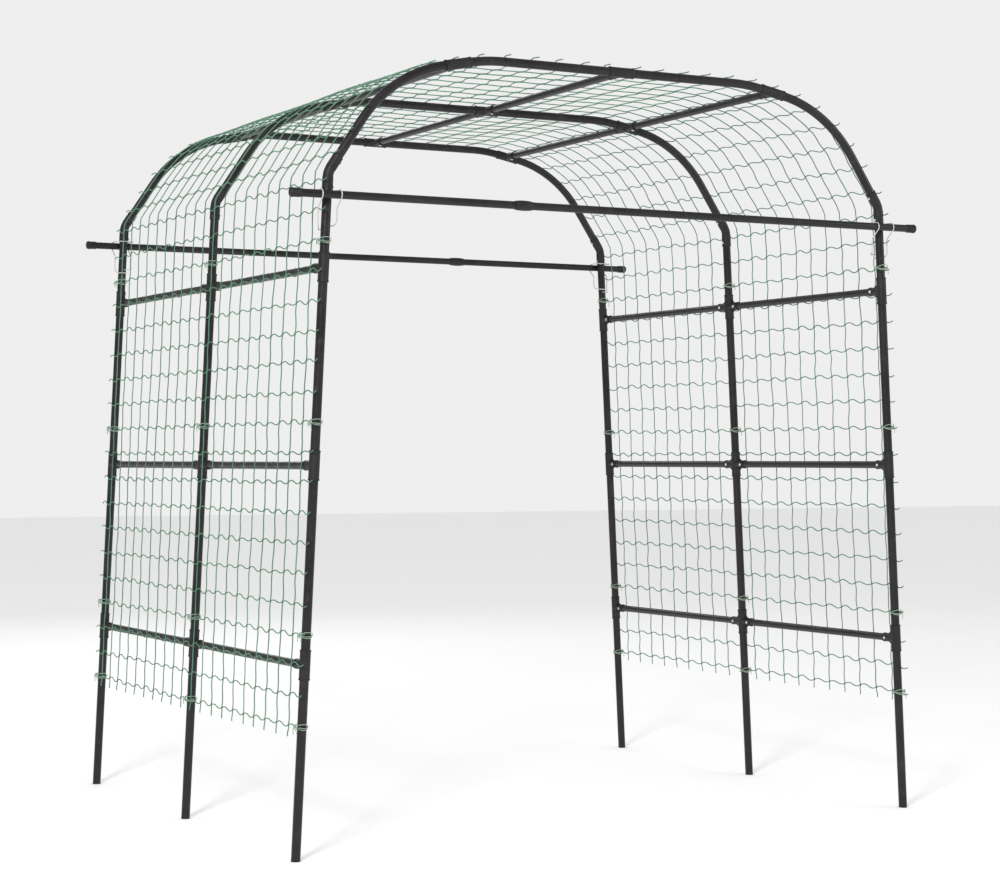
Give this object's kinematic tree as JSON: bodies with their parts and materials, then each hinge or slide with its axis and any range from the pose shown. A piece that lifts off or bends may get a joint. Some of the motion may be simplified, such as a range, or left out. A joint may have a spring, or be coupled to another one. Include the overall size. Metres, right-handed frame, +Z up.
{
  "type": "metal trellis arch",
  "caption": "Walk-through garden arch for climbing plants: steel tube hoops on moulded fittings, rails, clipped crossbars and a net.",
  "frame": {"origin": "level with the bottom of the feet, midway between the two feet of the middle hoop", "axes": "+X across the walkway to the right, +Y along the walkway from the front hoop to the rear hoop, +Z up"},
  "size_m": [1.79, 1.4998, 1.8914],
  "materials": {
    "tube_paint": "satin brown-black coating over steel tube",
    "fitting": "moulded, fine matt grain",
    "screw": "zinc plated",
    "clip_wire": "off-white coated spring wire",
    "net": "soft green polymer twine",
    "tie_twine": "pale green twine"
  },
  "bodies": {
    "frame": {"foot_plugs": "fitting", "leg_tubes_front_left": "tube_paint", "leg_tubes_front_right": "tube_paint", "leg_tubes_middle_left": "tube_paint", "leg_tubes_middle_right": "tube_paint", "leg_tubes_rear_left": "tube_paint", "leg_tubes_rear_right": "tube_paint", "leg_tees_front_left": "fitting", "leg_tees_front_right": "fitting", "leg_crosses_middle_left": "fitting", "leg_crosses_middle_right": "fitting", "leg_tees_rear_left": "fitting", "leg_tees_rear_right": "fitting", "elbows_front": "fitting", "elbows_middle": "fitting", "elbows_rear": "fitting", "shoulder_tube_front_left": "tube_paint", "shoulder_tube_front_right": "tube_paint", "shoulder_tube_middle_left": "tube_paint", "shoulder_tube_middle_right": "tube_paint", "shoulder_tube_rear_left": "tube_paint", "shoulder_tube_rear_right": "tube_paint", "corner_tee_front_left": "fitting", "corner_tee_front_right": "fitting", "corner_cross_middle_left": "fitting", "corner_cross_middle_right": "fitting", "corner_tee_rear_left": "fitting", "corner_tee_rear_right": "fitting", "roof_tubes_front": "tube_paint", "roof_tubes_middle": "tube_paint", "roof_tubes_rear": "tube_paint", "ridge_tee_front": "fitting", "ridge_cross_middle": "fitting", "ridge_tee_rear": "fitting", "lower_rail_left": "tube_paint", "middle_rail_left": "tube_paint", "upper_rail_left": "tube_paint", "lower_rail_right": "tube_paint", "middle_rail_right": "tube_paint", "upper_rail_right": "tube_paint", "roof_rail_left": "tube_paint", "roof_rail_ridge": "tube_paint", "roof_rail_right": "tube_paint", "screws": "screw", "net_left": "net", "net_shoulder_left": "net", "net_roof": "net", "net_shoulder_right": "net", "net_right": "net", "net_ties": "tie_twine"},
    "crossbar_front": {"crossbar_tubes_front": "tube_paint", "crossbar_coupler_front": "fitting", "crossbar_caps_front": "fitting"},
    "crossbar_rear": {"crossbar_tubes_rear": "tube_paint", "crossbar_coupler_rear": "fitting", "crossbar_caps_rear": "fitting"},
    "clip_front_left": {"wire_clip_front_left": "clip_wire"},
    "clip_front_right": {"wire_clip_front_right": "clip_wire"},
    "clip_rear_left": {"wire_clip_rear_left": "clip_wire"},
    "clip_rear_right": {"wire_clip_rear_right": "clip_wire"}
  },
  "joints": [
    {"name": "crossbar_front_slide", "type": "slide", "parent": "frame", "child": "crossbar_front", "axis": [1, 0, 0], "range_m": [-0.045, 0.045]},
    {"name": "crossbar_rear_slide", "type": "slide", "parent": "frame", "child": "crossbar_rear", "axis": [1, 0, 0], "range_m": [-0.045, 0.045]},
    {"name": "clip_front_left_swing", "type": "hinge", "parent": "frame", "child": "clip_front_left", "pos_m": [-0.7927, -0.7369, 1.53], "axis": [1, 0, 0], "range_deg": [0, 5]},
    {"name": "clip_front_right_swing", "type": "hinge", "parent": "frame", "child": "clip_front_right", "pos_m": [0.7927, -0.7369, 1.53], "axis": [1, 0, 0], "range_deg": [0, 5]},
    {"name": "clip_rear_left_swing", "type": "hinge", "parent": "frame", "child": "clip_rear_left", "pos_m": [-0.7927, 0.7369, 1.53], "axis": [-1, 0, 0], "range_deg": [0, 5]},
    {"name": "clip_rear_right_swing", "type": "hinge", "parent": "frame", "child": "clip_rear_right", "pos_m": [0.7927, 0.7369, 1.53], "axis": [-1, 0, 0], "range_deg": [0, 5]}
  ]
}
